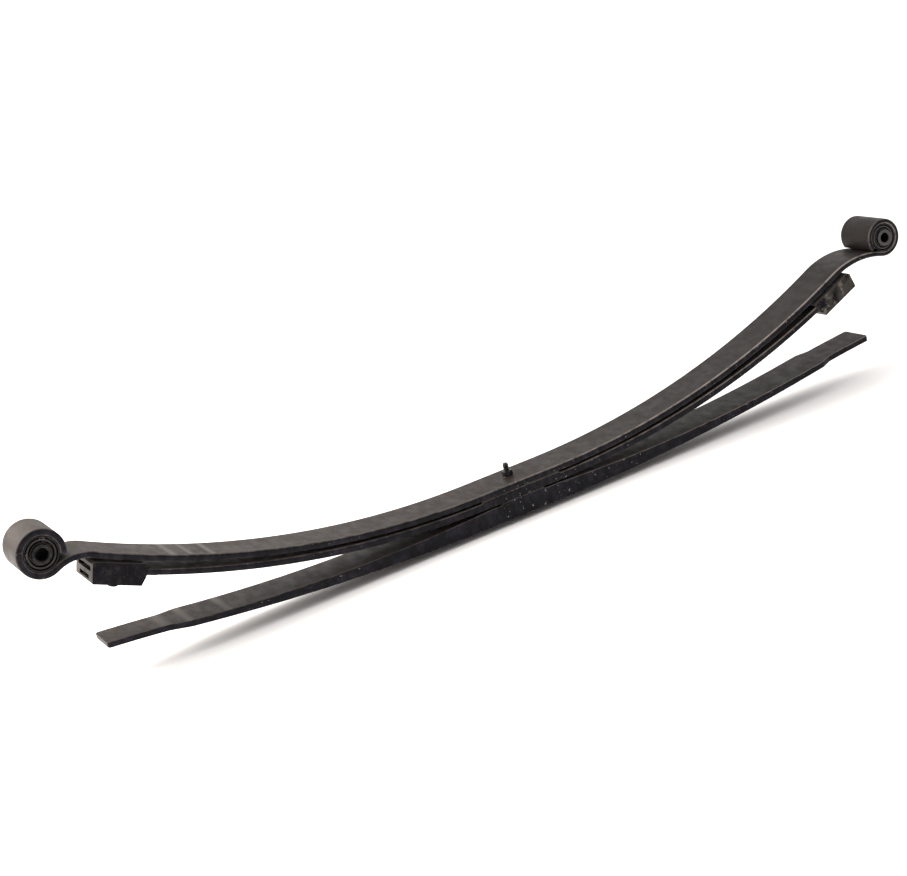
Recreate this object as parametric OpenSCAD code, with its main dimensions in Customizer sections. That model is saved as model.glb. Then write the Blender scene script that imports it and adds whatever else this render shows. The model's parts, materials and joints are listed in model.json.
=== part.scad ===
// Multi-leaf rear suspension spring: a main leaf with a rolled eye at each end, a second leaf
// with a moulded pad on each tip, and a thick, nearly straight overload leaf underneath.
// X runs along the spring (front eye at -X), Y across it and Z up. The origin is on the
// centre bolt's axis, in the plane of the axle seat under the overload leaf.

/* [Leaf pack] */
// Width of all three leaves
leaf_w = 76.2; // [63:0.1:80]
// Half the length of the flat seat under the axle clamp
seat_half = 60; // [50:1:70]
// Thickness of the main leaf
main_t = 10; // [9:0.5:11]
// Radius of the main leaf's upper face, from the seat to the bend before the eye
main_r = 1307; // [1300:1:1320]
// Half the length of the second leaf, tip to centre bolt, measured along X
second_half = 637; // [634:1:638]
// Thickness of the second leaf at the seat, without its raised pad
second_t = 11.5; // [11:0.5:12]
// Radius of the second leaf's lower face
second_r_low = 1403; // [1395:1:1410]
// Radius of the second leaf's upper face, a little flatter, which thins the leaf to its tips
second_r_up = 1425; // [1420:5:1435]
// Height of the raised pad that parts the second leaf from the main leaf
second_pad_h = 3; // [2:0.5:4]
// Half the length of that raised pad
second_pad_half = 66; // [60:1:70]
// Half the length of the overload leaf, measured along X
over_half = 660; // [645:1:665]
// Thickness of the overload leaf at the seat, without its raised pad
over_t = 26; // [24:1:27]
// Thickness of the overload leaf at its tips
over_tip_t = 9; // [8:0.5:12]
// Radius of the overload leaf's lower face, from the seat to its tips
over_r = 3430; // [3400:10:4000]
// How far the overload leaf's narrowed ends droop below that arc at their tips
over_droop = 5.5; // [4:0.5:7]
// Width of the overload leaf's narrowed ends
over_tip_w = 60; // [56:1:64]
// Height of the raised pad that parts the overload leaf from the second leaf
over_pad_h = 2.5; // [2:0.5:3]
// Half the length of that raised pad
over_pad_half = 36; // [30:1:40]

/* [Eyes] */
// Height of the front eye's centre above the axle seat
front_eye_z = 211; // [209:1:213]
// Distance of the front eye from the centre bolt, along X
front_eye_x = 709; // [706:1:712]
// Outer radius of the front eye
front_eye_r = 35.5; // [35:0.5:37]
// Radius of the downward bend before the front eye, at mid-thickness
front_bend_r = 60; // [56:1:64]
// Distance of the rear eye from the centre bolt, along X
rear_eye_x = 721; // [719:0.5:723]
// Height of the rear eye's centre above the axle seat
rear_eye_z = 202; // [201:0.5:204]
// Outer radius of the rear eye
rear_eye_r = 30; // [29:0.5:30.5]
// Radius of the downward bend before the rear eye, at mid-thickness
rear_bend_r = 130; // [120:1:140]
// Wall of the rear eye, to which the main leaf thins from its bend on
rear_wall = 7.5; // [7:0.5:8]

/* [Bushes] */
// Length of a bush's outer sleeve across the eye
sleeve_len = 72; // [66:1:74]
// Length of a bush's inner sleeve, which stands proud of the eye at both ends
inner_len = 81; // [79:1:86]
// Wall of a bush's pressed outer sleeve
sleeve_wall = 2.4; // [2:0.1:2.8]
// Bore radius of the front bush's inner sleeve
front_bore_r = 9; // [8:0.5:9.5]
// Bore radius of the rear bush's inner sleeve
rear_bore_r = 8; // [7:0.5:8.5]
// Wall of an inner sleeve
inner_wall = 5; // [4.5:0.5:5.5]

/* [Centre bolt] */
// Diameter of the centre bolt
bolt_d = 9; // [8:0.5:10]
// Diameter of its round locating head
head_d = 16; // [15:0.5:18]
// Height of its locating head, below the axle seat
head_h = 9; // [7:0.5:10]
// Width of its nut across flats
nut_af = 14.3; // [13:0.1:16]
// Height of its nut
nut_h = 9; // [8:0.5:10]
// Length of thread left above the nut
stud_h = 12; // [8:1:15]

/* [Tip pads] */
// Length of a tip pad along the leaf
pad_len = 80; // [76:1:84]
// Overall width of a tip pad
pad_w = 80; // [78:1:82]
// Distance of the front pad's middle from the centre bolt, along X
front_pad_x = 617; // [614:1:619]
// Height of the front pad's top above the second leaf's lower face
front_pad_top = 17; // [15:0.2:18]
// How far the front pad reaches below the second leaf
front_pad_drop = 14; // [12:0.5:15]
// Distance of the rear pad's middle from the centre bolt, along X
rear_pad_x = 610; // [609:1:612]
// Height of the rear pad's top above the second leaf's lower face
rear_pad_top = 14.5; // [14:0.2:16]
// How far the rear pad reaches below the second leaf
rear_pad_drop = 12; // [11:0.5:14]
// Length of a pad's round plug below the pad
plug_h = 10; // [6:1:11]

/* [Hidden] */

leaf_black = [0.16, 0.15, 0.15];
rubber_black = [0.10, 0.10, 0.11];
plastic_black = [0.13, 0.13, 0.14];
zinc_dark = [0.22, 0.21, 0.20];

bolt_r = bolt_d / 2;
hole_r = bolt_r + 0.3;
second_z = over_t + over_pad_h;                        // lower face of the second leaf at the seat
second_top = second_z + second_t;                      // its upper face there, beside the pad
main_z = second_top + second_pad_h;                    // lower face of the main leaf at the seat
main_top = main_z + main_t;
main_c = [seat_half, main_top + main_r];               // centre of the main leaf's long arc
main_mid_r = main_r + main_t / 2;                      // mid-thickness radius of that arc
ream = 0.05;                                           // skimmed off each rolled bore
front_bore = front_eye_r - main_t + ream;
rear_bore = rear_eye_r - rear_wall + ream;
front_roll_end = 288;                                  // where each eye's rolled end stops,
rear_roll_end = 300;                                   // in degrees round from its lowest point
tip_w = 64;                                            // width of the second leaf inside its pads
over_front_neck = [540, 571];                          // where the overload leaf narrows
over_rear_neck = [562, 580];
neck_in = [37, 31];                                    // where the second leaf narrows in a pad
plug_x = -4;
arc_steps = 32;
bend_steps = 16;
eye_steps = 72;
press_gap = 0.03;
spot_depth = 0.5;                                      // spot face that seats the bolt's head
tall = main_top + front_eye_z;                         // higher than any leaf
function pad_at(side) = side < 0 ? front_pad_x : rear_pad_x;
function pad_tilt(side) = asin((pad_at(side) - seat_half) / second_r_low);
function pad_pocket(side) =
    (second_half - pad_at(side)) / cos(pad_tilt(side)) + second_t * sin(pad_tilt(side)) + 0.4;

// Point at distance r from c, in the direction of the normal of a leaf with this slope
function on_arc(c, r, slope) = c + r * [sin(slope), -cos(slope)];
function slope_of(v) = atan2(v[0], -v[1]);

// Meeting point of two circles, on the right of the line from the first centre to the second
function circles_meet(c1, r1, c2, r2) =
    let (d = norm(c2 - c1), a = (r1 * r1 - r2 * r2 + d * d) / (2 * d),
         h = sqrt(r1 * r1 - a * a), u = (c2 - c1) / d)
    c1 + a * u + h * [u[1], -u[0]];

// Stations [mid-thickness point, slope, thickness] of half the main leaf, seat to rolled end
function half_leaf(eye, eye_r, wall, bend_r, roll_end) =
    let (mid_r = eye_r - wall / 2,
         bend = circles_meet(main_c, main_mid_r + bend_r, eye, mid_r + bend_r),
         rise = slope_of(bend - main_c),
         dip = slope_of(bend - eye))
    concat([for (k = [0 : arc_steps])
               let (s = rise * k / arc_steps) [on_arc(main_c, main_mid_r, s), s, main_t]],
           [for (k = [1 : bend_steps])
               let (f = k / bend_steps, s = rise + (dip - rise) * f)
               [on_arc(bend, -bend_r, s), s, main_t + (wall - main_t) * f]],
           [for (k = [1 : eye_steps])
               let (s = dip + (roll_end - dip) * k / eye_steps)
               [on_arc(eye, mid_r, s), s, wall]]);

// One face of a strip through the stations: side 1 is the upper (inner) face, -1 the lower
function face(stations, side) =
    [for (q = stations) q[0] + side * q[2] / 2 * [-sin(q[1]), cos(q[1])]];

function flip(points) = [for (k = [len(points) - 1 : -1 : 0]) points[k]];

// Height gained by an arc of radius r at distance x from the bolt, past the flat seat
function arc_rise(x, r) =
    let (run = max(0, abs(x) - seat_half)) r - sqrt(r * r - run * run);

function over_low(x) =
    let (end = max(0, abs(x) - over_front_neck[0]) / (over_half - over_front_neck[0]))
    arc_rise(x, over_r) - over_droop * end * end;
function over_thick(x) =
    let (s = max(0, abs(x) - seat_half) / (over_half - seat_half))
    over_tip_t + (over_t - over_tip_t) * pow(1 - s, 2);

// Places along a leaf of this half-length, from the front tip to the rear one
function along(half) =
    let (n = 30) concat([for (k = [0 : n]) -half + (half - seat_half) * k / n],
                        [for (k = [0 : n]) seat_half + (half - seat_half) * k / n]);

// Turns an outline drawn as [x, z] into a strip of width w across the spring
module across(w) rotate([90, 0, 0]) linear_extrude(height = w, center = true) children();

module bolt_hole() translate([0, 0, -1]) cylinder(r = hole_r, h = main_top + 2, $fn = 48);

// Places a shape with its axis across the spring at an eye; side is -1 at the front, 1 at the rear
module at_eye(side)
    translate(side < 0 ? [-front_eye_x, 0, front_eye_z] : [rear_eye_x, 0, rear_eye_z])
        rotate([90, 0, 0]) children();

// Places a shape at a tip pad: X outward along the second leaf's lower face, Z up from it
module at_pad(side)
    mirror([side < 0 ? 1 : 0, 0, 0])
        translate([pad_at(side), 0, second_z + arc_rise(pad_at(side), second_r_low)])
            rotate([0, -pad_tilt(side), 0]) children();

module half_main(eye, eye_r, wall, bend_r, roll_end) {
    stations = half_leaf(eye, eye_r, wall, bend_r, roll_end);
    across(leaf_w) polygon(concat([[-1, main_z], [-1, main_top]],
                                  face(stations, 1), flip(face(stations, -1))));
}

module main_leaf() color(leaf_black) difference() {
    union() {
        mirror([1, 0, 0])
            half_main([front_eye_x, front_eye_z], front_eye_r, main_t, front_bend_r,
                      front_roll_end);
        half_main([rear_eye_x, rear_eye_z], rear_eye_r, rear_wall, rear_bend_r,
                  rear_roll_end);
    }
    bolt_hole();
    at_eye(-1) cylinder(r = front_bore, h = leaf_w + 2, center = true, $fn = 180);
    at_eye(1) cylinder(r = rear_bore, h = leaf_w + 2, center = true, $fn = 180);
}

// Block with sloped ends that stands on a leaf's upper face, under the leaf above it
module raised_pad(half, z, h)
    across(leaf_w) polygon([[-half - 4, z - 1], [-half - 2, z], [-half, z + h],
                            [half, z + h], [half + 2, z], [half + 4, z - 1]]);

module second_leaf() color(leaf_black) difference() {
    xs = along(second_half);
    union() {
        intersection() {
            across(leaf_w)
                polygon(concat([for (x = xs) [x, second_top + arc_rise(x, second_r_up)]],
                               flip([for (x = xs) [x, second_z + arc_rise(x, second_r_low)]])));
            linear_extrude(height = tall)
                plan(second_half, tip_w, front_pad_x * [1, 1] - neck_in,
                     rear_pad_x * [1, 1] - neck_in, 6);
        }
        raised_pad(second_pad_half, second_top, second_pad_h);
    }
    bolt_hole();
}

// Outline of a leaf from above: full width, then shoulders, narrow ends and cut corners
module plan(half, end_w, front_neck, rear_neck, corner) {
    quarter = function(neck) [[neck[0], leaf_w / 2], [neck[1], end_w / 2],
                              [half - corner, end_w / 2], [half + 0.01, end_w / 2 - corner]];
    rear = quarter(rear_neck);
    front = quarter(front_neck);
    polygon(concat(rear, flip([for (p = rear) [p[0], -p[1]]]),
                   [for (p = front) [-p[0], -p[1]]], flip([for (p = front) [-p[0], p[1]]])));
}

module overload_leaf() color(leaf_black) difference() {
    xs = along(over_half);
    union() {
        intersection() {
            across(leaf_w) polygon(concat([for (x = xs) [x, over_low(x) + over_thick(x)]],
                                          flip([for (x = xs) [x, over_low(x)]])));
            translate([0, 0, -1]) linear_extrude(height = tall)
                plan(over_half, over_tip_w, over_front_neck, over_rear_neck, 3);
        }
        raised_pad(over_pad_half, over_t, over_pad_h);
    }
    bolt_hole();
    translate([0, 0, -1]) cylinder(r = head_d / 2 + 0.4, h = 1 + spot_depth, $fn = 64);
}

module centre_bolt() color(zinc_dark) {
    translate([0, 0, -head_h]) cylinder(r = head_d / 2, h = head_h, $fn = 64);
    translate([0, 0, -1]) cylinder(r = head_d / 2 - 0.5, h = 1 + spot_depth, $fn = 64);
    translate([0, 0, -1]) cylinder(r = bolt_r, h = main_top + nut_h + stud_h, $fn = 48);
    translate([0, 0, main_top + nut_h + stud_h - 1])
        cylinder(r1 = bolt_r, r2 = bolt_r - 1, h = 1, $fn = 48);
}

module centre_bolt_nut() color(zinc_dark) translate([0, 0, main_top]) difference() {
    cylinder(r = nut_af / 2 / cos(30), h = nut_h, $fn = 6);
    translate([0, 0, -1]) cylinder(r = bolt_r + 0.05, h = nut_h + 2, $fn = 48);
}

module tube(r_out, r_in, length) difference() {
    cylinder(r = r_out, h = length, center = true, $fn = 120);
    cylinder(r = r_in, h = length + 2, center = true, $fn = 120);
}

module outer_sleeve(eye_bore) tube(eye_bore - press_gap, eye_bore - sleeve_wall, sleeve_len);

module inner_sleeve(bore_r) tube(bore_r + inner_wall, bore_r, inner_len);

// Rubber between the sleeves, with a moulded groove in each end face
module bush_rubber(r_out, r_in, length, groove) {
    half = length / 2;
    mid = (r_out + r_in) / 2;
    rotate_extrude($fn = 120) polygon([
        [r_in, -half], [mid - groove, -half], [mid - groove, -half + groove],
        [mid + groove, -half + groove], [mid + groove, -half], [r_out, -half],
        [r_out, half], [mid + groove, half], [mid + groove, half - groove],
        [mid - groove, half - groove], [mid - groove, half], [r_in, half]]);
}

module front_bush_outer_sleeve() color(leaf_black) at_eye(-1) outer_sleeve(front_bore);
module front_bush_inner_sleeve() color(zinc_dark) at_eye(-1) inner_sleeve(front_bore_r);
module front_bush_rubber() color(rubber_black) at_eye(-1)
    bush_rubber(front_bore - sleeve_wall - press_gap, front_bore_r + inner_wall + press_gap,
                sleeve_len - 1, 2);

module rear_bush_outer_sleeve() color(leaf_black) at_eye(1) outer_sleeve(rear_bore);
module rear_bush_inner_sleeve() color(zinc_dark) at_eye(1) inner_sleeve(rear_bore_r);
module rear_bush_rubber() color(rubber_black) at_eye(1)
    bush_rubber(rear_bore - sleeve_wall - press_gap, rear_bore_r + inner_wall + press_gap,
                sleeve_len - 1, 1);

// Moulded shoe that sleeves the second leaf's tip, with its top under the main leaf
module tip_pad(side, top, drop) {
    half = pad_len / 2;
    difference() {
        across(pad_w) polygon([[-half, 6], [-half + 2, -drop + 12], [-half + 7, -drop],
                               [half - 4, -drop], [half - 2.5, -drop + 1.5],
                               [half, top - 3], [half - 3, top], [-half + 4, top],
                               [-half, top - 4]]);
        // pocket that takes the leaf's tip, open towards the centre of the spring
        translate([-half - 1, -tip_w / 2 - 0.5, -1.4])
            cube([half + 1 + pad_pocket(side), tip_w + 1, 13]);
        // its mouth, which is as wide as the leaf is before its shoulders
        translate([-half - 1, -leaf_w / 2 - 0.6, -1.4]) cube([15, leaf_w + 1.2, 13]);
        // two slots in the outer end, one above the other
        for (slot = [[58, top - 11.5, 6.5], [44, 7 - drop, 5.5]])
            translate([half, 0, slot[1]])
                cube([2 * (half - pad_pocket(side) - 1.3), slot[0], slot[2]], center = true);
        // shallow panels in the flanks
        for (s = [-1, 1])
            translate([2, s * pad_w / 2, 1]) cube([30, 2, 14], center = true);
        translate([plug_x, 0, -drop - 1]) cylinder(r = 5, h = drop, $fn = 48);
    }
}

module front_tip_pad() color(plastic_black)
    at_pad(-1) tip_pad(-1, front_pad_top, front_pad_drop);
module rear_tip_pad() color(plastic_black)
    at_pad(1) tip_pad(1, rear_pad_top, rear_pad_drop);

// Round plug pushed up through the pad, which locates it on the leaf
module pad_plug(drop) translate([plug_x, 0, -drop]) {
    translate([0, 0, -plug_h]) cylinder(r = 8, h = plug_h, $fn = 64);
    translate([0, 0, -1]) cylinder(r = 4.9, h = drop - 0.6, $fn = 48);
}

module front_pad_plug() color(plastic_black) at_pad(-1) pad_plug(front_pad_drop);
module rear_pad_plug() color(plastic_black) at_pad(1) pad_plug(rear_pad_drop);

// Thin steel tongue held between the second leaf and the floor of the pad's pocket
module pad_clip() {
    reach = 18;
    translate([-pad_len / 2 - reach, -tip_w / 2 + 4, -1.3]) cube([reach + 10, tip_w - 8, 1.2]);
}

module front_pad_clip() color(zinc_dark) at_pad(-1) pad_clip();
module rear_pad_clip() color(zinc_dark) at_pad(1) pad_clip();

main_leaf();
second_leaf();
overload_leaf();
centre_bolt();
centre_bolt_nut();
front_bush_outer_sleeve();
front_bush_rubber();
front_bush_inner_sleeve();
rear_bush_outer_sleeve();
rear_bush_rubber();
rear_bush_inner_sleeve();
front_tip_pad();
rear_tip_pad();
front_pad_plug();
rear_pad_plug();
front_pad_clip();
rear_pad_clip();
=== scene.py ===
# %% [markdown]
# # A truck leaf spring
# The spring is three leaves of flat steel held by one bolt. The long main leaf ends in two
# rolled eyes with rubber bushes. The second leaf carries a moulded pad on each tip, and the
# thick overload leaf lies nearly straight underneath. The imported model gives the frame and
# the bodies that move. This script gives each piece its rounded edges and its finish.

# %% Load the frame
import json
import math

import bmesh
import bpy
from mathutils import Matrix, Vector, noise


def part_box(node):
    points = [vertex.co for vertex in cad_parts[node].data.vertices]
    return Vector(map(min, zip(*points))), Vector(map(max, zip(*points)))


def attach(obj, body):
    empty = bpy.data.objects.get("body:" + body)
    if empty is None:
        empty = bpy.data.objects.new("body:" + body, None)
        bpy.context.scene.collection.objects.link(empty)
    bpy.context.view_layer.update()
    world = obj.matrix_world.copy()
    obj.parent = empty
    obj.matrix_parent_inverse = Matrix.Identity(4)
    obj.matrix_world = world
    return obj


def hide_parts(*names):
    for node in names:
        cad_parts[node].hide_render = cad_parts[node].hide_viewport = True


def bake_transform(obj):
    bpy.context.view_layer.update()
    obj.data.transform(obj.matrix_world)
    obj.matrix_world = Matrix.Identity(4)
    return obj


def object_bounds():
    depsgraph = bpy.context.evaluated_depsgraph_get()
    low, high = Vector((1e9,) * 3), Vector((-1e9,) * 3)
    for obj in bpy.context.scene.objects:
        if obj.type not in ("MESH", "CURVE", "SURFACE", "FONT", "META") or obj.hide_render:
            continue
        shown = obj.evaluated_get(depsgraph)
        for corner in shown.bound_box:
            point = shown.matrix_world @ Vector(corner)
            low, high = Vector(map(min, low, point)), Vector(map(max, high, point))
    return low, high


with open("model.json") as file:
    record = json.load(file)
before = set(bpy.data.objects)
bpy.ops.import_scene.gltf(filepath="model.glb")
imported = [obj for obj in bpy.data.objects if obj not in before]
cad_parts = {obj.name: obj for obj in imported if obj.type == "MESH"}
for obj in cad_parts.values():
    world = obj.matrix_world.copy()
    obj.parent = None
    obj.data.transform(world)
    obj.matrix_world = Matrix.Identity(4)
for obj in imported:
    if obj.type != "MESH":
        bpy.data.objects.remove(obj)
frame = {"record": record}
cad_box = [list(corner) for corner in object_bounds()]

# %% [markdown]
# The driving sizes repeat the design in metres. Where the frame can give a value, as for the
# bores and the seat, it is read from the frame, so the looks can't drift from the design.

# %% Sizes
MM = 0.001
mounts = {m["name"]: m for m in frame["record"]["mounts"]}
front_eye = Vector(mounts["front_eye_bore"]["pos_m"])
rear_eye = Vector(mounts["rear_eye_bore"]["pos_m"])
front_bore_r = mounts["front_eye_bore"]["dims"]["r_mm"] * MM
rear_bore_r = mounts["rear_eye_bore"]["dims"]["r_mm"] * MM

leaf_w = 76.2 * MM
seat_half = 60 * MM
over_t = 26 * MM
over_tip_t = 9 * MM
over_r = 3430 * MM
over_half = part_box("overload_leaf")[1][0]
over_pad_h = 2.5 * MM
over_pad_half = 36 * MM
over_tip_w = 60 * MM
over_droop = 5.5 * MM
over_necks = {"front": (540 * MM, 571 * MM), "rear": (562 * MM, 580 * MM)}
over_corner = 3 * MM
second_t = 11.5 * MM
second_low_r = 1403 * MM
second_up_r = 1425 * MM
second_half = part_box("second_leaf")[1][0]
second_pad_h = 3 * MM
second_pad_half = 66 * MM
second_tip_w = 64 * MM
second_neck_in = (37 * MM, 31 * MM)
second_corner = 6 * MM
second_z = over_t + over_pad_h
main_t = 10 * MM
main_r = 1307 * MM
main_z = second_z + second_t + second_pad_h
main_top = main_z + main_t
front_roll_r = front_eye[0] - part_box("main_leaf")[0][0]
rear_roll_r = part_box("main_leaf")[1][0] - rear_eye[0]
rear_wall = 7.5 * MM
pads = {
    "front": dict(x=617 * MM, top=17 * MM, drop=14 * MM),
    "rear": dict(x=610 * MM, top=14.5 * MM, drop=12 * MM),
}
print("leaf pack is", round(main_top / MM, 1), "mm high at the seat")

# %% [markdown]
# Every new piece is a bmesh that becomes an object at the origin. Smooth shading with sharp
# edges above an angle, and normals weighted by face area, keep the wide flats flat while the
# rounded edges catch the light.

# %% Helper: finish a mesh
BEVEL_ABOVE = math.radians(35)


def finish_mesh(bm, name, body, replaced, material, sharp=40, bevel=None):
    bmesh.ops.remove_doubles(bm, verts=bm.verts, dist=1e-7)
    bmesh.ops.recalc_face_normals(bm, faces=bm.faces)
    mesh = bpy.data.meshes.new(name)
    bm.to_mesh(mesh)
    bm.free()
    mesh.polygons.foreach_set("use_smooth", [True] * len(mesh.polygons))
    mesh.set_sharp_from_angle(angle=math.radians(sharp))
    piece = bpy.data.objects.new(name, mesh)
    bpy.context.scene.collection.objects.link(piece)
    mesh.materials.append(material)
    if bevel:
        rounding = piece.modifiers.new("rounded edges", "BEVEL")
        rounding.width = bevel
        rounding.segments = 2
        rounding.limit_method = "ANGLE"
        rounding.angle_limit = BEVEL_ABOVE
        rounding.harden_normals = False
    weighted = piece.modifiers.new("weighted normals", "WEIGHTED_NORMAL")
    weighted.keep_sharp = True
    if body:
        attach(piece, body)
    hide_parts(*replaced)
    return piece


# %% [markdown]
# Every material is a small graph of shader nodes. The builder below names the few kinds of
# node that the finishes need, so each finish reads as a recipe: noise, ramp, mix, bump.

# %% Helper: a small node builder


class Nodes:
    """A material's node tree; each method adds a node and gives back its output."""

    def __init__(self, name):
        self.material = bpy.data.materials.new(name)
        self.material.use_nodes = True
        self.tree = self.material.node_tree
        self.shader = self.tree.nodes["Principled BSDF"]

    def add(self, kind, **settings):
        node = self.tree.nodes.new(kind)
        for key, value in settings.items():
            setattr(node, key, value)
        return node

    def feed(self, socket, value):
        if isinstance(value, bpy.types.NodeSocket):
            self.tree.links.new(value, socket)
        else:
            socket.default_value = value

    def attribute(self, name, output="Vector"):
        node = self.add("ShaderNodeAttribute", attribute_name=name)
        return node.outputs[output]

    def place(self):
        return self.add("ShaderNodeTexCoord").outputs["Object"]

    def noise(self, vector, scale, detail=4, stretch=(1, 1, 1), roughness=0.55):
        mapping = self.add("ShaderNodeMapping")
        mapping.inputs["Scale"].default_value = stretch
        self.feed(mapping.inputs["Vector"], vector)
        node = self.add("ShaderNodeTexNoise")
        self.feed(node.inputs["Vector"], mapping.outputs["Vector"])
        node.inputs["Scale"].default_value = scale
        node.inputs["Detail"].default_value = detail
        node.inputs["Roughness"].default_value = roughness
        return node.outputs["Fac"]

    def cells(self, vector, scale, randomness=1.0):
        node = self.add("ShaderNodeTexVoronoi")
        self.feed(node.inputs["Vector"], vector)
        node.inputs["Scale"].default_value = scale
        node.inputs["Randomness"].default_value = randomness
        return node.outputs["Distance"]

    def math(self, operation, a, b=0.0, clamp=False):
        node = self.add("ShaderNodeMath", operation=operation, use_clamp=clamp)
        self.feed(node.inputs[0], a)
        self.feed(node.inputs[1], b)
        return node.outputs[0]

    def ramp(self, value, low, high, to_low=0.0, to_high=1.0):
        node = self.add("ShaderNodeMapRange", interpolation_type="SMOOTHSTEP")
        self.feed(node.inputs["Value"], value)
        node.inputs["From Min"].default_value = low
        node.inputs["From Max"].default_value = high
        node.inputs["To Min"].default_value = to_low
        node.inputs["To Max"].default_value = to_high
        return node.outputs["Result"]

    def mix(self, factor, a, b):
        node = self.add("ShaderNodeMix", data_type="RGBA")
        self.feed(node.inputs[0], factor)
        self.feed(node.inputs[6], a)
        self.feed(node.inputs[7], b)
        return node.outputs[2]

    def split(self, vector):
        node = self.add("ShaderNodeSeparateXYZ")
        self.feed(node.inputs[0], vector)
        return node.outputs

    def bump(self, height, distance, strength=1.0, normal=None):
        node = self.add("ShaderNodeBump")
        node.inputs["Strength"].default_value = strength
        node.inputs["Distance"].default_value = distance
        self.feed(node.inputs["Height"], height)
        if normal is not None:
            self.feed(node.inputs["Normal"], normal)
        return node.outputs["Normal"]

    def shade(self, color, roughness, normal=None, metallic=0.0, specular=0.25):
        self.feed(self.shader.inputs["Base Color"], color)
        self.feed(self.shader.inputs["Roughness"], roughness)
        self.feed(self.shader.inputs["Metallic"], metallic)
        self.shader.inputs["Specular IOR Level"].default_value = specular
        if normal is not None:
            self.feed(self.shader.inputs["Normal"], normal)
        return self.material


# %% [markdown]
# The paint is a thin satin black over shot-peened steel. It is worked out on the leaf's own
# attributes: `strip` holds the place along, across and through the bar, and `edge` runs from
# 0 on the sheared sides to 1 on the flats. Both are stored on the mesh, so the pattern stays
# put when a leaf bends. The flats are painted paler and warmer than the sides, partly a film
# of pale dust and partly painted light from above, and the paleness fades to the rear as
# painted light that falls off away from the lamp at the left; the front eye is painted paler
# still, more painted light. The sides are painted blue-black, a painted cool shade. The
# corners are painted pale, partly rubbed wear and partly a painted highlight along the upper
# edges that grows toward the rear, and chips show bare steel in clusters.

# %% Finish: leaf paint


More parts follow.
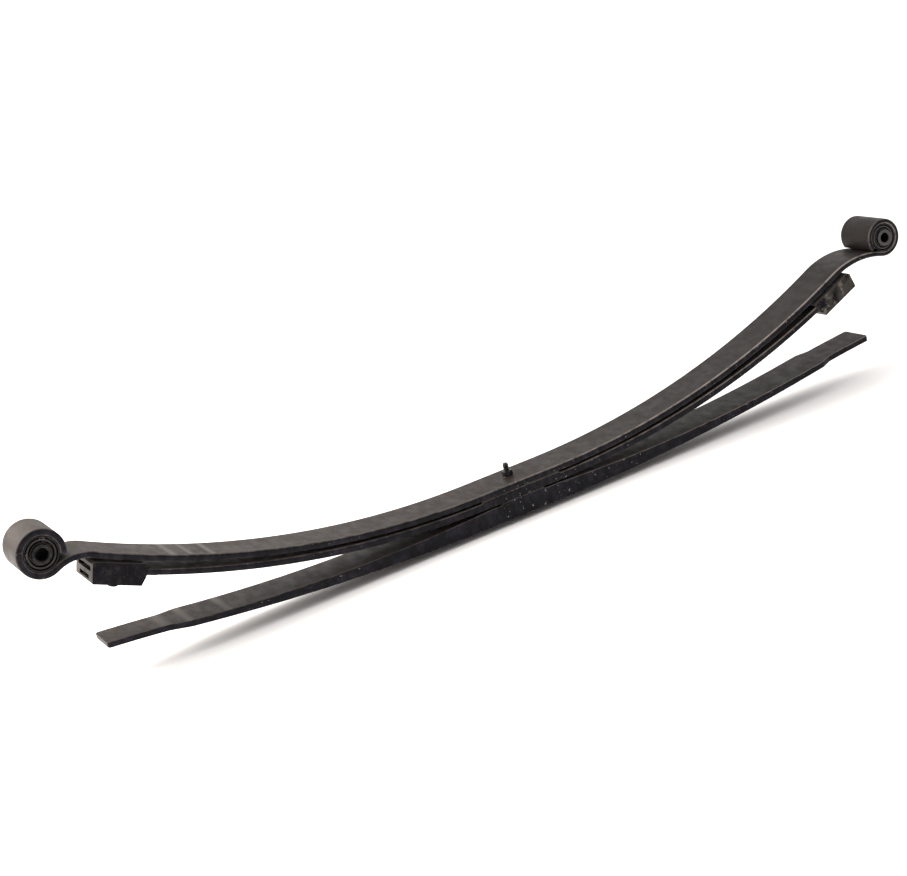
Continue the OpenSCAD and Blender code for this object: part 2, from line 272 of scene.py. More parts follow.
def leaf_paint(name, stripes=()):
    """Satin paint; stripes are (place along, half width) of the pale bands across the top."""
    n = Nodes(name)
    strip = n.attribute("strip")
    edge = n.attribute("edge", "Fac")
    along, _, through = n.split(strip)
    broad = n.noise(strip, 14, detail=5, stretch=(1.8, 0.6, 1))
    grain = n.noise(strip, 420, detail=3, stretch=(1, 0.35, 1))
    fine = n.noise(strip, 1500, detail=2)
    blotch = n.noise(strip, 55, detail=6, stretch=(1.4, 0.7, 1), roughness=0.65)
    flat_dark = (0.0115, 0.0088, 0.0082, 1)
    flat_dusty_lit = (0.036, 0.028, 0.024, 1)
    side_black = (0.002, 0.002, 0.0035, 1)
    side_grey = (0.016, 0.0145, 0.0205, 1)
    grain_pale = (0.050, 0.041, 0.036, 1)
    eye_pale_lit = (0.078, 0.069, 0.063, 1)
    stripe_pale = (0.105, 0.094, 0.084, 1)
    rubbed_steel_and_highlight = (0.20, 0.175, 0.16, 1)
    chip_steel = (0.26, 0.25, 0.24, 1)
    pit_black = (0.006, 0.006, 0.007, 1)
    # Partly dust, partly painted light: the flats are painted paler and warmer than the sides,
    # and this paleness fades toward the rear as painted light falling off away from the lamp at
    # the left.
    dust = n.math("MULTIPLY", n.ramp(broad, 0.3, 0.7, 0.55, 1),
                  n.ramp(along, -0.65, 0.45, 1, 0.1))
    flat = n.mix(dust, flat_dark, flat_dusty_lit)
    flat = n.mix(n.ramp(grain, 0.5, 0.75, 0, 0.18), flat, grain_pale)
    side = n.mix(n.ramp(blotch, 0.4, 0.7), side_black, side_grey)
    # Painted light: the front eye's outer face, nearest the lamp at the left, is painted paler.
    front_eye_painted_light = n.ramp(along, -0.79, -0.73, 0.3, 0)
    flat = n.mix(front_eye_painted_light, flat, eye_pale_lit)
    # Painted light and shade: the flats take the pale warm colour, the sides the blue-black
    # one.
    color = n.mix(n.ramp(edge, 0.25, 1.0), side, flat)
    for middle, half in stripes:
        far = n.math("ABSOLUTE", n.math("SUBTRACT", along, middle))
        band = n.ramp(far, half * 0.2, half * 1.3, 1, 0)
        patchy = n.math("MULTIPLY", band, n.ramp(blotch, 0.34, 0.6, 0.35, 0.9))
        flats_only = n.math("MULTIPLY", patchy, n.ramp(edge, 0.5, 1.0))
        color = n.mix(flats_only, color, stripe_pale)
    # Partly wear, partly painted highlight: the rounded corners are painted pale, more on the
    # upper edges and more toward the rear.
    corner = n.math("MULTIPLY", n.ramp(edge, 0.02, 0.30), n.ramp(edge, 0.75, 1.0, 1, 0))
    upper_side_lit = n.ramp(through, -0.001, 0.001)
    worn = n.math("MULTIPLY", corner, n.ramp(blotch, 0.3, 0.62, 0.3, 0.9))
    worn = n.math("MULTIPLY", worn, n.math("ADD", n.math("MULTIPLY", upper_side_lit, 0.7), 0.3))
    worn = n.math("MULTIPLY", worn, n.ramp(along, -0.2, 0.5, 0.45, 1.3), True)
    color = n.mix(worn, color, rubbed_steel_and_highlight)
    chip_noise = n.noise(strip, 230, detail=2)
    clusters = n.ramp(n.noise(strip, 8, detail=2), 0.46, 0.60)
    chip_zone = n.math("MULTIPLY", clusters, n.ramp(edge, 0.6, 0.95, 1, 0))
    chips = n.math("MULTIPLY", n.ramp(chip_noise, 0.69, 0.715), chip_zone)
    color = n.mix(chips, color, chip_steel)
    pits = n.ramp(n.cells(strip, 95), 0.05, 0.16, 1, 0)
    pit_zone = n.ramp(n.noise(strip, 23, detail=2), 0.50, 0.58)
    pits = n.math("MULTIPLY", pits, pit_zone)
    pits = n.math("MULTIPLY", pits, n.ramp(edge, 0.9, 1.0, 1, 0.2))
    color = n.mix(n.math("MULTIPLY", pits, 0.8), color, pit_black)
    roughness = n.math("SUBTRACT", n.ramp(blotch, 0.3, 0.7, 0.42, 0.58),
                       n.ramp(edge, 0.3, 1.0, 0.16, 0))
    height = n.math("ADD", n.math("MULTIPLY", fine, 0.5), n.math("MULTIPLY", grain, 0.7))
    normal = n.bump(height, 0.00012, 0.5)
    normal = n.bump(blotch, 0.0004, 0.3, normal)
    normal = n.bump(n.math("MULTIPLY", pits, -1), 0.0005, 0.8, normal)
    return n.shade(color, roughness, normal, specular=0.10)


main_paint = leaf_paint("main leaf paint",
                        [(-0.5486, 0.006), (-0.5216, 0.004), (-0.4896, 0.005)])
second_paint = leaf_paint("second leaf paint")
over_paint = leaf_paint("overload leaf paint",
                        [(-0.540, 0.007), (-0.482, 0.007), (-0.574, 0.009)])
print("leaf paints made")

# %% [markdown]
# A leaf starts as a straight bar, cut across into many short lengths, with its long edges
# rounded as the mill leaves them. Each vertex is then carried to its place on the curved
# leaf, which is how the real bar is formed, and keeps its straight-bar place in `strip`. The
# sheared sides get a slow ripple of a fraction of a millimetre.

# %% Helpers: the straight bar
edge_round = 3.2 * MM
over_edge_round = 1.5 * MM
end_round = 1.2 * MM
ring_gap = 3.2 * MM


def straight_bar(length, thick, extra_cuts=(), rounding=edge_round):
    """A bar along +X from the origin, rounded and cut across every few millimetres."""
    bm = bmesh.new()
    bmesh.ops.create_cube(bm, size=1)
    bmesh.ops.scale(bm, vec=(length, leaf_w, thick), verts=bm.verts)
    bmesh.ops.translate(bm, vec=(length / 2, 0, 0), verts=bm.verts)

    def runs_along(e):
        return abs(e.verts[0].co.x - e.verts[1].co.x) > length / 2

    long_edges = [e for e in bm.edges if runs_along(e)]
    bmesh.ops.bevel(bm, geom=long_edges, offset=rounding, offset_type="OFFSET", segments=4,
                    affect="EDGES", profile=0.5, material=-1)
    tip = [f for f in bm.faces if f.calc_center_median().x > length - 1e-6]
    rim = [e for f in tip for e in f.edges]
    bmesh.ops.bevel(bm, geom=rim, offset=end_round, offset_type="OFFSET", segments=2,
                    affect="EDGES", profile=0.5, material=-1)
    long_edges = [e for e in bm.edges if runs_along(e)]
    cuts = int(length / ring_gap)
    bmesh.ops.subdivide_edges(bm, edges=long_edges, cuts=cuts, use_grid_fill=True)
    for x in extra_cuts:
        bmesh.ops.bisect_plane(bm, geom=bm.verts[:] + bm.edges[:] + bm.faces[:], dist=1e-6,
                               plane_co=(x, 0, 0), plane_no=(1, 0, 0))
    return bm


def form(bm, thick, place, side, rounding=edge_round):
    """Carry every vertex of a straight bar to its place on this side of the bolt."""
    strip = bm.verts.layers.float_vector.new("strip")
    edge = bm.verts.layers.float.new("edge")
    for v in bm.verts:
        x, y, z = v.co
        v[strip] = (side * x, y, z)
        v[edge] = min(1.0, (leaf_w / 2 - abs(y)) / rounding)
        v.co = place(x, y, z, thick)
        v.co.x *= side


def ripple(x, y, depth, seed):
    return depth * noise.noise(Vector((x * 60, y * 30, seed)))


# %% [markdown]
# The main leaf follows four stretches: the flat seat, a long arc, a short reverse bend, and
# the eye, which is one more arc rolled up and over. Each stretch is a length and a radius, so
# walking along them gives the leaf's middle line. The bend's place is where a circle touches
# both the long arc and the eye.

# %% Helpers: the main leaf's middle line


def touching(c1, r1, c2, r2):
    """Centre at distance r1 from c1 and r2 from c2, below the line between them."""
    d = (c2 - c1).length
    a = (r1 * r1 - r2 * r2 + d * d) / (2 * d)
    h = math.sqrt(r1 * r1 - a * a)
    u = (c2 - c1) / d
    return c1 + u * a + Vector((u.y, -u.x)) * h


def main_line(eye, eye_r, wall, bend_r, roll_end):
    """The four stretches as (length, radius); None is straight, a minus bends downward."""
    mid_r = main_r + main_t / 2
    roll_r = eye_r - wall / 2
    centre = Vector((seat_half, main_top + main_r))
    bend = touching(centre, mid_r + bend_r, eye, roll_r + bend_r)
    rise = math.atan2((bend - centre).x, -(bend - centre).y)
    dip = math.atan2((bend - eye).x, -(bend - eye).y)
    return [(seat_half, None), (mid_r * rise, mid_r), (bend_r * (rise - dip), -bend_r),
            (roll_r * (math.radians(roll_end) - dip), roll_r)]


def walk(line, s):
    """Point, slope and stretch number at distance s along the middle line."""
    p = Vector((0, main_z + main_t / 2))
    slope = 0.0
    for number, (length, radius) in enumerate(line):
        step = min(s, length) if number < len(line) - 1 else s
        if radius is None:
            p = p + Vector((math.cos(slope), math.sin(slope))) * step
        else:
            centre = p + Vector((-math.sin(slope), math.cos(slope))) * radius
            slope += step / radius
            p = centre + Vector((math.sin(slope), -math.cos(slope))) * radius
        if s <= length:
            return p, slope, number
        s -= step
    return p, slope, len(line) - 1


def main_place(line, wall):
    """Place on the main leaf, which thins from its full thickness to the eye's wall."""
    bend_start = line[0][0] + line[1][0]

    def place(x, y, z, thick):
        p, slope, number = walk(line, x)
        f = min(1, max(0, (x - bend_start) / line[2][0]))
        offset = z - math.copysign((thick - (main_t + (wall - main_t) * f)) / 2, z)
        y += math.copysign(ripple(x, y, 0.22 * MM, 3), y)
        return Vector((p.x - math.sin(slope) * offset, y, p.y + math.cos(slope) * offset))

    return place


# %% [markdown]
# Each half is its own piece, from the bolt out to its eye.

# %% Main leaf, in two halves
ends = {
    "front": dict(side=-1, eye=Vector((-front_eye.x, front_eye.z)), eye_r=front_roll_r,
                  wall=main_t, bend_r=60 * MM, roll_end=288),
    "rear": dict(side=1, eye=Vector((rear_eye.x, rear_eye.z)), eye_r=rear_roll_r,
                 wall=rear_wall, bend_r=130 * MM, roll_end=300),
}
for end, e in ends.items():
    line = main_line(e["eye"], e["eye_r"], e["wall"], e["bend_r"], e["roll_end"])
    length = sum(stretch[0] for stretch in line)
    bm = straight_bar(length, main_t)
    form(bm, main_t, main_place(line, e["wall"]), e["side"])
    piece = finish_mesh(bm, f"main_leaf_{end}", None, ["main_leaf"], main_paint)
    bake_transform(piece)
    print(piece.name, round(length, 3), "m long,", len(piece.data.polygons), "faces")

# %% [markdown]
# The second and overload leaves have no rolled ends, so each is set by its two faces: a lower
# arc and an upper arc. Keeping the rounded edge's own offset while the faces move apart or
# together keeps the edge the same size along a leaf that gets thinner. A short ramp leads up
# to the raised pad in the middle, and shoulders narrow the leaf toward its tip.

# %% Second leaf, in two halves
ramp_run = 2 * MM


def arc_rise(x, radius):
    run = max(0.0, x - seat_half)
    return radius - math.sqrt(radius * radius - run * run)


def ramp_up(x, half, height):
    return height * min(1.0, max(0.0, (half + ramp_run - x) / ramp_run))


def between(low, up, half_width):
    """Place for a leaf set by its two faces and its half width, with a slightly wavy side."""
    def place(x, y, z, thick):
        y *= 1 + (half_width(x) - leaf_w / 2 + ripple(x, y, 0.25 * MM, 7)) / abs(y)
        level = up(x) + (z - thick / 2) if z > 0 else low(x) + (z + thick / 2)
        return Vector((x, y, level))

    return place


def shoulders(start, stop, end_width, half, corner):
    """Half width along a leaf that narrows from start to stop and is cut at its corners."""
    def half_width(x):
        f = min(1.0, max(0.0, (x - start) / (stop - start)))
        return leaf_w / 2 + (end_width / 2 - leaf_w / 2) * f - max(0.0, x - half + corner)

    return half_width


for end, e in ends.items():
    neck = [pads[end]["x"] - inboard for inboard in second_neck_in]
    place = between(lambda x: second_z + arc_rise(x, second_low_r),
                    lambda x: second_z + second_t + arc_rise(x, second_up_r)
                    + ramp_up(x, second_pad_half, second_pad_h),
                    shoulders(*neck, second_tip_w, second_half, second_corner))
    bm = straight_bar(second_half, second_t,
                      extra_cuts=(second_pad_half, second_pad_half + ramp_run, seat_half,
                                  second_half - second_corner))
    form(bm, second_t, place, e["side"])
    piece = finish_mesh(bm, f"second_leaf_{end}", None, ["second_leaf"],
                        second_paint, sharp=30)
    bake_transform(piece)
    print(piece.name, len(piece.data.polygons), "faces")

# %% [markdown]
# The overload leaf is thick at the clamp and thins toward its tips, quickly at first. Past
# the shoulders its front and rear tips droop by a few millimetres. It works only once the
# axle comes up to it, so it stays whole and rides with the clamped middle.

# %% Overload leaf


def over_thick(x):
    s = max(0.0, x - seat_half) / (over_half - seat_half)
    return over_tip_t + (over_t - over_tip_t) * (1 - s) ** 2


def over_low(x):
    droop_from = over_necks["front"][0]
    f = max(0.0, x - droop_from) / (over_half - droop_from)
    return arc_rise(x, over_r) - over_droop * f * f


for end, e in ends.items():
    place = between(over_low,
                    lambda x: over_low(x) + over_thick(x)
                    + ramp_up(x, over_pad_half, over_pad_h),
                    shoulders(*over_necks[end], over_tip_w, over_half, over_corner))
    bm = straight_bar(over_half, over_t,
                      extra_cuts=(over_pad_half, over_pad_half + ramp_run, seat_half,
                                  *over_necks[end], over_half - over_corner),
                      rounding=over_edge_round)
    form(bm, over_t, place, e["side"], over_edge_round)
    piece = finish_mesh(bm, f"overload_leaf_{end}", "leaf_pack", ["overload_leaf"],
                        over_paint, sharp=30)
    print(piece.name, len(piece.data.polygons), "faces")

# %% [markdown]
# A bush is three rings turned about the eye's axis: a pressed outer sleeve, moulded rubber
# and a thick inner sleeve. Each ring is one closed outline. Where a corner size is given, the
# outline is cut back by it at each corner, and the bands between the corners are spun.

# %% Helper: turned rings


def turned(outline, centre, axis="Y", corner=None, steps=96):
    """Spin a closed outline of (radius, height) points about an axis through centre."""
    bm = bmesh.new()
    verts = [bm.verts.new((r, h, 0)) for r, h in outline]
    wire = [bm.edges.new((verts[k - 1], verts[k])) for k in range(len(verts))]
    if corner:
        bmesh.ops.bevel(bm, geom=verts + wire, offset=corner, offset_type="OFFSET",
                        segments=3, affect="VERTICES", profile=0.5, material=-1)
    bands = [e for e in bm.edges if not e.tag]
    points = list({v for e in bands for v in e.verts})
    before = set(bm.verts)
    bmesh.ops.spin(bm, geom=points + bands, cent=(0, 0, 0), axis=(0, 1, 0),
                   angle=2 * math.pi, steps=steps, use_merge=True)
    ring = points + [v for v in bm.verts if v not in before]
    if axis == "Z":
        bmesh.ops.rotate(bm, verts=ring, cent=(0, 0, 0),
                         matrix=Matrix.Rotation(math.pi / 2, 3, "X"))
    bmesh.ops.translate(bm, verts=ring, vec=centre)
    return bm


# %% [markdown]
# The rubber and the sleeves are dull and nearly black, so what shows them is a change of
# gloss: painted steel is smooth, rubber is matt with a fine bloom, and the inner sleeve's end
# face has bright specks and a little rust. The rubber's grooves and the inner sleeve's bore
# are painted black with depth, a painted shade. The rear bush is dustier than the front one,
# and the rear pad is scuffed while the front one is clean. On the pads every face but the
# flanks is painted paler, partly dust and partly painted light.

# %% Finishes: sleeves, rubber, bolt and pads
inner_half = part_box("front_bush_inner_sleeve")[1][1]


def sleeve_paint():
    n = Nodes("sleeve paint")
    p = n.place()
    cloud = n.noise(p, 60, detail=5)
    fine = n.noise(p, 900, detail=2)
    black = (0.006, 0.006, 0.008, 1)
    grey = (0.016, 0.0155, 0.018, 1)
    color = n.mix(n.ramp(cloud, 0.35, 0.65), black, grey)
    return n.shade(color, n.ramp(cloud, 0.3, 0.7, 0.34, 0.5), n.bump(fine, 0.0002, 0.4))


def bush_rubber(name, pale):
    """Matt rubber; pale runs from 0, clean, to 1, covered in dust."""
    n = Nodes(name)
    p = n.place()
    bloom = n.noise(p, 85, detail=6, roughness=0.6)
    fine = n.noise(p, 1400, detail=2)
    black = (0.018, 0.016, 0.016, 1)
    grey = (0.042, 0.037, 0.035, 1)
    dust = (0.105, 0.098, 0.092, 1)
    groove_painted_shade = (0.002, 0.002, 0.002, 1)
    color = n.mix(n.ramp(bloom, 0.35, 0.7), black, grey)
    color = n.mix(pale, color, dust)
    # Painted shade: everything sunk below the rubber's top face, in the grooves, is painted
    # near black.
    height = n.math("ABSOLUTE", n.split(p)[1])
    color = n.mix(n.ramp(height, 0.0325, 0.0345, 1, 0), color, groove_painted_shade)
    return n.shade(color, n.ramp(bloom, 0.3, 0.7, 0.42, 0.62), n.bump(fine, 0.00015, 0.5),
                   specular=0.15)


def inner_steel(name, pale):
    """Dark steel tube, its bore painted black as painted shade; pale runs from 0, clean, to 1,
    covered in dust.
    """
    n = Nodes(name)
    p = n.place()
    cloud = n.noise(p, 130, detail=5)
    fine = n.noise(p, 1100, detail=2)
    black = (0.008, 0.008, 0.009, 1)
    grey = (0.028, 0.026, 0.025, 1)
    rust_brown = (0.035, 0.016, 0.009, 1)
    bare_steel = (0.16, 0.155, 0.15, 1)
    dust = (0.14, 0.13, 0.125, 1)
    bore_painted_shade = (0.001, 0.001, 0.001, 1)
    color = n.mix(n.ramp(cloud, 0.38, 0.62), black, grey)
    rust = n.ramp(n.noise(p, 210, detail=4), 0.58, 0.68)
    color = n.mix(n.math("MULTIPLY", rust, 0.4), color, rust_brown)
    bright = n.ramp(n.noise(p, 380, detail=2), 0.68, 0.74)
    color = n.mix(n.math("MULTIPLY", bright, 0.7), color, bare_steel)
    color = n.mix(pale, color, dust)
    # Painted shade: the bore, away from the end faces, is painted black.
    depth = n.math("ABSOLUTE", n.split(p)[1])
    bore_shaded = n.ramp(depth, inner_half - 0.0025, inner_half - 0.001, 1, 0)
    color = n.mix(bore_shaded, color, bore_painted_shade)
    gloss = n.ramp(cloud, 0.3, 0.7, 0.32, 0.5)
    return n.shade(color, n.math("ADD", gloss, n.math("MULTIPLY", bore_shaded, 0.5), True),
                   n.bump(fine, 0.0002, 0.5), specular=0.12)


def bolt_steel():
    n = Nodes("bolt steel")
    p = n.place()
    cloud = n.noise(p, 160, detail=4)
    fine = n.noise(p, 1300, detail=2)
    black = (0.006, 0.006, 0.007, 1)
    grey = (0.020, 0.019, 0.019, 1)
    color = n.mix(n.ramp(cloud, 0.35, 0.65), black, grey)
    return n.shade(color, n.ramp(cloud, 0.3, 0.7, 0.26, 0.44), n.bump(fine, 0.0002, 0.5),
                   metallic=0.2)


def pad_plastic(name, worn):
    """Moulded black plastic; worn runs from 0, clean, to 1, scuffed brown and wrinkled."""
    n = Nodes(name)
    p = n.place()
    cloud = n.noise(p, 45, detail=6, roughness=0.62)
    wrinkle = n.noise(p, 58, detail=5, stretch=(1.3, 1, 0.8), roughness=0.6)
    fine = n.noise(p, 1500, detail=2)
    black = (0.002, 0.002, 0.0035, 1)
    grey = (0.007, 0.0062, 0.0095, 1)
    brown = (0.056, 0.050, 0.043, 1)
    scuff_pale = (0.17, 0.15, 0.13, 1)
    dust = (0.095, 0.084, 0.078, 1)
    color = n.mix(n.ramp(cloud, 0.35, 0.7), black, grey)
    color = n.mix(n.math("MULTIPLY", n.ramp(wrinkle, 0.40, 0.60), worn), color, brown)
    scuff = n.ramp(n.noise(p, 75, detail=4, roughness=0.6), 0.52, 0.66, 0, 0.9 * worn)
    color = n.mix(scuff, color, scuff_pale)
    # Partly dust, partly painted light: every face that does not face across the spring, the
    # ends, top and underside, is painted paler than the flanks.
    facing = n.split(n.add("ShaderNodeNewGeometry").outputs["True Normal"])[1]
    ends_and_top_dust_and_light = n.ramp(n.math("ABSOLUTE", facing), 0.5, 0.8, 0.85, 0)
    color = n.mix(ends_and_top_dust_and_light, color, dust)
    normal = n.bump(fine, 0.00015, 0.5)
    normal = n.bump(wrinkle, 0.003 * worn + 0.0003, 0.5, normal)
    return n.shade(color, n.ramp(cloud, 0.3, 0.7, 0.40, 0.58), normal, specular=0.07)


sleeve_finish = sleeve_paint()
rubber_finish = {"front": bush_rubber("front bush rubber", 0.1),
                 "rear": bush_rubber("rear bush rubber", 0.6)}
inner_finish = {"front": inner_steel("front inner sleeve steel", 0.0),
                "rear": inner_steel("rear inner sleeve steel", 0.5)}
bolt_finish = bolt_steel()
pad_finish = {"front": pad_plastic("front pad plastic", 0.08),
              "rear": pad_plastic("rear pad plastic", 0.85)}
print("finishes made")

# %% [markdown]
# The outer sleeve and the rubber ride with the leaf's end, and the inner sleeve with the
# pivot, since the hanger's bolt clamps it. The rubber's face is a row of rings and grooves,
# set as shares of the gap between the two sleeves, so both bushes use one outline.

# %% Bushes


def serrate(bm, half, depth, tooth_angle=3.75, cycle=4):
    """Press shallow teeth into a sleeve's end faces, as the ones that bite the hanger."""
    for v in [v for v in bm.verts if abs(abs(v.co.y) - half) < 1e-6]:
        turn = math.degrees(math.atan2(v.co.z, v.co.x)) % 360
        if int(round(turn / tooth_angle)) % cycle < cycle // 2:
            v.co.y -= math.copysign(depth, v.co.y)


bushes = {
    "front": dict(eye=front_eye, bore=front_roll_r - main_t, inner=front_bore_r,
                  mouth=2.2 * MM),
    "rear": dict(eye=rear_eye, bore=rear_roll_r - rear_wall, inner=rear_bore_r,
                 mouth=1.0 * MM),
}
sleeve_half = 36 * MM
sleeve_wall = 2.4 * MM
lip = 1.2 * MM
inner_wall = 5 * MM
inner_corner = 0.6 * MM
rubber_gap = 0.06 * MM
groove = 6 * MM
rubber_top = sleeve_half - 0.6 * MM
rubber_deep = rubber_top - groove
rubber_rings = [(0.0, rubber_top - 1.6 * MM), (0.04, rubber_top), (0.20, rubber_top),
                (0.25, rubber_deep), (0.40, rubber_deep), (0.46, rubber_top),
                (0.78, rubber_top), (0.84, rubber_deep), (0.96, rubber_deep),
                (1.0, rubber_top - 3 * MM)]
for end, b in bushes.items():
    out_r = b["bore"]
    bm = turned([(out_r - sleeve_wall, -sleeve_half), (out_r - lip / 2, -sleeve_half),
                 (out_r, -sleeve_half + lip), (out_r, sleeve_half - lip),
                 (out_r - lip / 2, sleeve_half), (out_r - sleeve_wall, sleeve_half)],
                b["eye"], corner=0.35 * MM)
    finish_mesh(bm, f"{end}_bush_outer_sleeve", f"{end}_end", [f"{end}_bush_outer_sleeve"],
                sleeve_finish)

    rubber_in = b["inner"] + inner_wall + rubber_gap
    span = out_r - sleeve_wall - rubber_in
    outline = [(rubber_in + share * span, height) for share, height in rubber_rings]
    mirrored = [(r, -height) for r, height in reversed(outline)]
    bm = turned(outline + mirrored, b["eye"], corner=0.25 * MM)
    finish_mesh(bm, f"{end}_bush_rubber", f"{end}_end", [f"{end}_bush_rubber"],
                rubber_finish[end], sharp=60)

    bore, mouth = b["inner"], b["mouth"]
    outer = bore + inner_wall
    bm = turned([(bore, -inner_half + mouth), (bore + mouth, -inner_half),
                 (outer - inner_corner, -inner_half), (outer, -inner_half + inner_corner),
                 (outer, inner_half - inner_corner), (outer - inner_corner, inner_half),
                 (bore + mouth, inner_half), (bore, inner_half - mouth)], (0, 0, 0))
    serrate(bm, inner_half, 0.45 * MM)
    bmesh.ops.translate(bm, verts=bm.verts, vec=b["eye"])
    finish_mesh(bm, f"{end}_bush_inner_sleeve", f"{end}_pivot", [f"{end}_bush_inner_sleeve"],
                inner_finish[end], sharp=25)
    print(end, "bush:", round(out_r / MM, 2), "mm radius outside")

# %% [markdown]
# A tip pad is a moulded shoe. These helpers draw its shapes flat, cut and join them as exact
# solids, and tilt the result on to the second leaf.

# %% Helpers: solids that are carved


def lay_pad(bm, end):
    """Tilt a shape drawn at a pad's own origin on to the second leaf, at this end."""
    x = pads[end]["x"]
    tilt = math.asin((x - seat_half) / second_low_r)
    bmesh.ops.rotate(bm, verts=bm.verts, cent=(0, 0, 0), matrix=Matrix.Rotation(-tilt, 3, "Y"))
    bmesh.ops.translate(bm, verts=bm.verts, vec=(x, 0, second_z + arc_rise(x, second_low_r)))
    if ends[end]["side"] < 0:
        bmesh.ops.scale(bm, verts=bm.verts, vec=(-1, 1, 1))


def block(size, centre):
    bm = bmesh.new()
    bmesh.ops.create_cube(bm, size=1)
    bmesh.ops.scale(bm, verts=bm.verts, vec=size)
    bmesh.ops.translate(bm, verts=bm.verts, vec=centre)
    return bm


def cone(low_r, top_r, height, centre, segments, lean=0.0):
    """A closed cone or cylinder along Z, or leaned over about X."""
    bm = bmesh.new()
    bmesh.ops.create_cone(bm, cap_ends=True, segments=segments, radius1=low_r,
                          radius2=top_r, depth=height)
    bmesh.ops.rotate(bm, verts=bm.verts, cent=(0, 0, 0), matrix=Matrix.Rotation(lean, 3, "X"))
    bmesh.ops.translate(bm, verts=bm.verts, vec=centre)
    return bm


def prism(outline, width):
    """Side outline of (x, z) points pushed across the spring, centred on it."""
    bm = bmesh.new()
    face = bm.faces.new([bm.verts.new((x, -width / 2, z)) for x, z in outline])
    out = bmesh.ops.extrude_face_region(bm, geom=[face])
    moved = [v for v in out["geom"] if isinstance(v, bmesh.types.BMVert)]
    bmesh.ops.translate(bm, verts=moved, vec=(0, width, 0))
    bmesh.ops.recalc_face_normals(bm, faces=bm.faces)
    return bm


def scratch(bm):
    """A throwaway object that the solid modifiers can use."""
    bmesh.ops.recalc_face_normals(bm, faces=bm.faces)
    mesh = bpy.data.meshes.new("scratch")
    bm.to_mesh(mesh)
    bm.free()
    thing = bpy.data.objects.new("scratch", mesh)
    bpy.context.scene.collection.objects.link(thing)
    return thing


def carve(bm, cutters, joined=(), within=()):
    """Trim a solid to some shapes, cut others out, join more, and give one closed bmesh."""
    solid = scratch(bm)
    tools = []
    for operation, shapes in (("INTERSECT", within), ("DIFFERENCE", cutters),
                              ("UNION", joined)):
        for shape in shapes:
            tool = scratch(shape)
            cut = solid.modifiers.new("cut", "BOOLEAN")
            cut.operation = operation
            cut.solver = "EXACT"
            cut.object = tool
            tools.append(tool)
    bpy.context.view_layer.update()
    seen = solid.evaluated_get(bpy.context.evaluated_depsgraph_get())
    result = bmesh.new()
    result.from_mesh(seen.to_mesh())
    seen.to_mesh_clear()
    for thing in tools + [solid]:
        bpy.data.objects.remove(thing)
    bmesh.ops.dissolve_limit(result, angle_limit=math.radians(0.5), verts=result.verts,
                             edges=result.edges)
    return result


# %% [markdown]
# The pad's side outline is drawn once and pushed across the spring. The pocket and its wide
# mouth, two slots one above the other in the outer end, and the panels and grooves in the
# flanks are carved out, and a round boss is added on each flank. Under it sits the plug that
# locates it, and a thin tongue leaves its mouth along the leaf.

# %% Tip pads
pad_half = 40 * MM
pad_w = 80 * MM
pocket_h = 13 * MM
pocket_z = 5.1 * MM
end_wall = 1.3 * MM
plug_x = -4 * MM
plug_h = 10 * MM
plug_r = 8 * MM
shank_r = 4.8 * MM


def tip_pad(x, top, drop):
    """One pad, drawn flat about the place where the leaf's lower face crosses its middle."""
    tilt = math.asin((x - seat_half) / second_low_r)
    pocket = (second_half - x) / math.cos(tilt) + second_t * math.sin(tilt) + 0.4 * MM
    slot = 2 * (pad_half - pocket - end_wall)
    mouth = pad_half + 1 * MM
    outline = [(-pad_half, 6 * MM), (-pad_half + 2 * MM, 12 * MM - drop),
               (-pad_half + 7 * MM, -drop), (-pad_half + 20 * MM, -drop),
               (pad_half - 4 * MM, -drop),
               (pad_half - 2.5 * MM, 1.5 * MM - drop), (pad_half - 0.2 * MM, top - 3 * MM),
               (pad_half - 3 * MM, top), (-pad_half + 4 * MM, top),
               (-pad_half, top - 4 * MM)]
    body = prism(outline, pad_w - 0.6 * MM)
    cutters = [block((mouth + pocket, 65 * MM, pocket_h), ((pocket - mouth) / 2, 0, pocket_z)),
               block((15 * MM, leaf_w + 1.2 * MM, pocket_h), (-33.5 * MM, 0, pocket_z)),
               block((slot, 58 * MM, 6.5 * MM), (pad_half, 0, top - 11.5 * MM)),
               block((slot, 44 * MM, 5.5 * MM), (pad_half, 0, 7 * MM - drop))]
    bosses = []
    for s in (-1, 1):
        flank = s * pad_w / 2
        cutters.append(block((21 * MM, 2.0 * MM, 14 * MM), (0.7 * MM, flank, 6 * MM)))
        cutters.append(block((84 * MM, 1.4 * MM, 1.0 * MM), (0, flank, top - 3 * MM)))
        bosses.append(cone(7.2 * MM, 6.6 * MM, 1.6 * MM,
                           (-28 * MM, s * (pad_w / 2 - 0.85 * MM), 5.7 * MM), 40,
                           lean=-s * math.pi / 2))
    return carve(body, cutters, bosses)


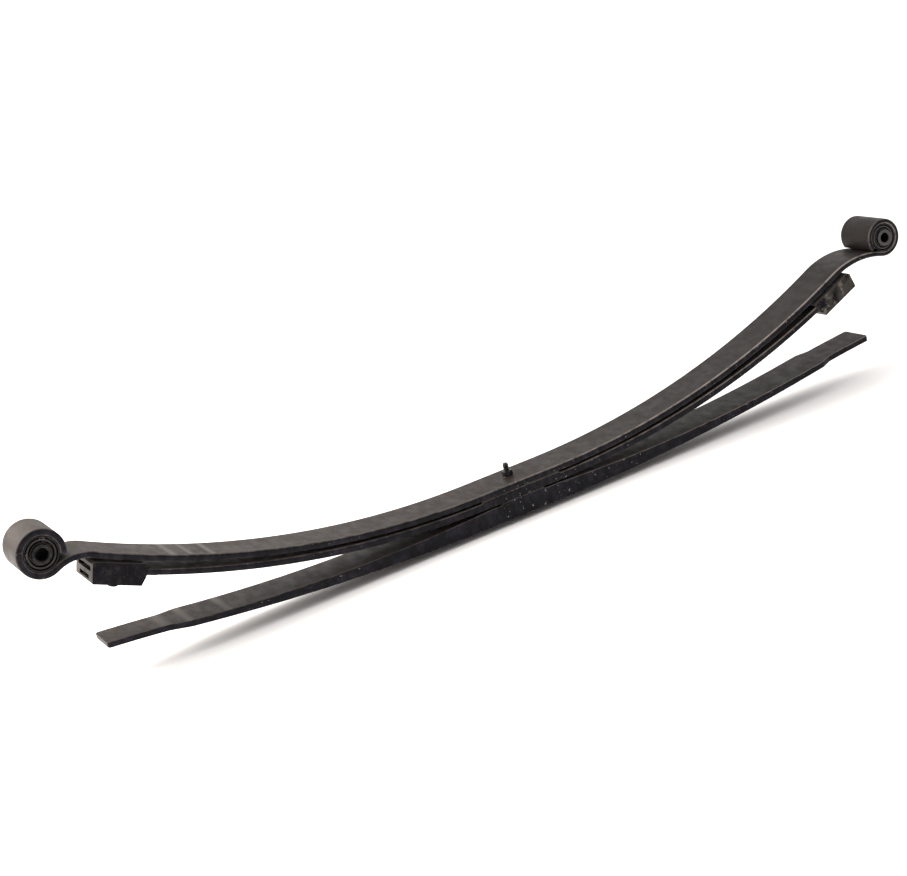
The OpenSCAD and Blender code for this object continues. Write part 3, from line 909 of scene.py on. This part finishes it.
for end, pad in pads.items():
    top, drop = pad["top"], pad["drop"]
    bm = tip_pad(pad["x"], top, drop)
    lay_pad(bm, end)
    finish_mesh(bm, f"{end}_tip_pad", f"{end}_end", [f"{end}_tip_pad"],
                pad_finish[end], sharp=30, bevel=0.7 * MM)

    bm = turned([(0, -plug_h), (4.5 * MM, -plug_h), (7 * MM, -plug_h + 1.0 * MM),
                 (plug_r, -plug_h + 3.2 * MM), (plug_r, 0), (shank_r, 0),
                 (shank_r, drop - 2 * MM), (0, drop - 2 * MM)],
                (plug_x, 0, -drop), axis="Z", steps=48)
    lay_pad(bm, end)
    finish_mesh(bm, f"{end}_pad_plug", f"{end}_end", [f"{end}_pad_plug"],
                pad_finish["front"], sharp=45)

    bm = block((27 * MM, 55 * MM, 1.1 * MM), (-44.3 * MM, 0, -0.7 * MM))
    lay_pad(bm, end)
    finish_mesh(bm, f"{end}_pad_clip", f"{end}_end", [f"{end}_pad_clip"],
                bolt_finish, sharp=30, bevel=0.4 * MM)
    print(end, "tip pad made")

# %% [markdown]
# The centre bolt's thread is a real helix: a small triangle spun up the shank, one turn for
# each pitch. The nut is a six-sided prism whose corners are turned away top and bottom, on a
# thin round washer face.

# %% Centre bolt and nut
bolt_r = 4.5 * MM
head_r = mounts["locating_head"]["dims"]["r_mm"] * MM
head_h = mounts["locating_head"]["dims"]["length_mm"] * MM
head_corner = 1.2 * MM
bolt_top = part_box("centre_bolt")[1][2]
bolt_corner = 1.2 * MM
root_r = bolt_r - 0.7 * MM
bm = turned([(0, -head_h), (head_r - head_corner, -head_h), (head_r, -head_h + head_corner),
             (head_r, -0.4 * MM), (head_r - 0.5 * MM, 0), (bolt_r, 0), (bolt_r, main_top),
             (root_r, main_top), (root_r, bolt_top - bolt_corner),
             (bolt_r - 1.8 * MM, bolt_top), (0, bolt_top)], (0, 0, 0), axis="Z", steps=48)

thread_pitch = 1.25 * MM
tooth_r = bolt_r - 0.8 * MM
turns = int((bolt_top - bolt_corner - main_top) / thread_pitch) - 1
turn_steps = 32
start = main_top + 0.4 * MM
tooth = [bm.verts.new((tooth_r, 0, start)), bm.verts.new((bolt_r, 0, start + thread_pitch / 2)),
         bm.verts.new((tooth_r, 0, start + thread_pitch))]
tooth_face = bm.faces.new(tooth)
bmesh.ops.spin(bm, geom=[tooth_face] + tooth + list(tooth_face.edges), cent=(0, 0, 0),
               axis=(0, 0, 1), dvec=(0, 0, thread_pitch / turn_steps),
               angle=2 * math.pi * turns, steps=turn_steps * turns, use_merge=False)
finish_mesh(bm, "centre_bolt", "leaf_pack", ["centre_bolt"], bolt_finish, sharp=30)

nut_h = 9 * MM
nut_half = 14.3 * MM / 2
nut_corner_r = 14.3 * MM / math.sqrt(3)
nut_middle = (0, 0, main_top + nut_h / 2)
hexagon = cone(nut_corner_r, nut_corner_r, nut_h - 0.8 * MM,
               (0, 0, main_top + nut_h / 2 + 0.4 * MM), 6)
chamfer = turned([(0, -nut_h), (nut_half - 0.2 * MM, -nut_h / 2 + 0.4 * MM),
                  (nut_half + 1.6 * MM, -nut_h / 2 + 1.8 * MM),
                  (nut_half + 1.6 * MM, nut_h / 2 - 1.4 * MM),
                  (nut_half - 0.2 * MM, nut_h / 2), (0, nut_h)],
                 nut_middle, axis="Z", steps=48)
hole_r = bolt_r + 0.05 * MM
hole = cone(hole_r, hole_r, 3 * nut_h, nut_middle, 48)
washer = cone(nut_half + 0.9 * MM, nut_half + 0.4 * MM, 0.9 * MM,
              (0, 0, main_top + 0.45 * MM), 64)
bm = carve(hexagon, [hole], [washer], [chamfer])
finish_mesh(bm, "centre_bolt_nut", "leaf_pack", ["centre_bolt_nut"], bolt_finish,
            sharp=25, bevel=0.15 * MM)
print("bolt thread has", turns, "turns")

# %% [markdown]
# The stage is a pale floor that the bolt's head rests on, under a sky that is brightest
# high up on the far side. That gives the tops of the leaves a long, even reflection and
# leaves the near sides dark. A broad overhead light and a warm one at the left model the
# shapes. The camera looks along the spring from a little above its front end.

# %% Stage, light and camera
floor_mesh = bpy.data.meshes.new("floor")
bm = bmesh.new()
bmesh.ops.create_grid(bm, x_segments=1, y_segments=1, size=30)
bmesh.ops.translate(bm, vec=(0, 0, cad_box[0][2]), verts=bm.verts)
bm.to_mesh(floor_mesh)
bm.free()
floor = bpy.data.objects.new("floor", floor_mesh)
bpy.context.scene.collection.objects.link(floor)
floor_mesh.materials.append(Nodes("pale floor").shade((0.97, 0.97, 0.97, 1), 0.9))

world = bpy.data.worlds.new("sky")
bpy.context.scene.world = world
world.use_nodes = True
sky = world.node_tree
background = sky.nodes["Background"]
background.inputs["Color"].default_value = (1.0, 0.97, 0.945, 1)
direction = sky.nodes.new("ShaderNodeTexCoord").outputs["Generated"]
toward_glow = sky.nodes.new("ShaderNodeVectorMath")
toward_glow.operation = "DOT_PRODUCT"
toward_glow.inputs[1].default_value = Vector((-0.15, 0.6, 0.8)).normalized()
sky.links.new(direction, toward_glow.inputs[0])
glow = sky.nodes.new("ShaderNodeMapRange")
for socket, value in (("From Min", -0.7), ("From Max", 0.8), ("To Min", 0.15),
                      ("To Max", 1.15)):
    glow.inputs[socket].default_value = value
sky.links.new(toward_glow.outputs["Value"], glow.inputs["Value"])
sky.links.new(glow.outputs["Result"], background.inputs["Strength"])


def shine_from(light, location, aim):
    """Hang a light so that it shines against the aim, which points back toward it."""
    lamp = bpy.data.objects.new(light.name, light)
    lamp.location = location
    lamp.rotation_euler = aim.to_track_quat("Z", "Y").to_euler()
    bpy.context.scene.collection.objects.link(lamp)


overhead = bpy.data.lights.new("overhead light", "SUN")
overhead.energy = 1.1
overhead.angle = math.radians(120)
shine_from(overhead, (0, 0, 0), Vector((0.1, 0.3, 1.0)))

box_light = bpy.data.lights.new("left light", "AREA")
box_light.size = 1.6
box_light.energy = 42
box_light.color = (1.0, 0.93, 0.87)
box_at = Vector((-1.3, 0.5, 1.1))
shine_from(box_light, box_at, box_at - Vector((-0.6, 0, 0.15)))

camera_data = bpy.data.cameras.new("camera")
camera_data.sensor_width = 36
camera_data.lens = 83.63
camera = bpy.data.objects.new("camera", camera_data)
bpy.context.scene.collection.objects.link(camera)
yaw = math.radians(22.582)
dip = math.radians(16.553)
roll = math.radians(-14.629)
look = Vector((math.sin(yaw) * math.cos(dip), math.cos(yaw) * math.cos(dip), -math.sin(dip)))
level = Vector((math.cos(yaw), -math.sin(yaw), 0))
over = level.cross(look)
right = level * math.cos(roll) + over * math.sin(roll)
up = over * math.cos(roll) - level * math.sin(roll)
facing = Matrix((right, up, -look)).transposed().to_4x4()
camera.matrix_world = Matrix.Translation((-1.2193, -2.7623, 1.0292)) @ facing
bpy.context.scene.camera = camera
bpy.context.scene.view_settings.view_transform = "Standard"

# %% [markdown]
# Last, the overall size of the design is printed.

# %% Size of the design
print("cad box", cad_box)
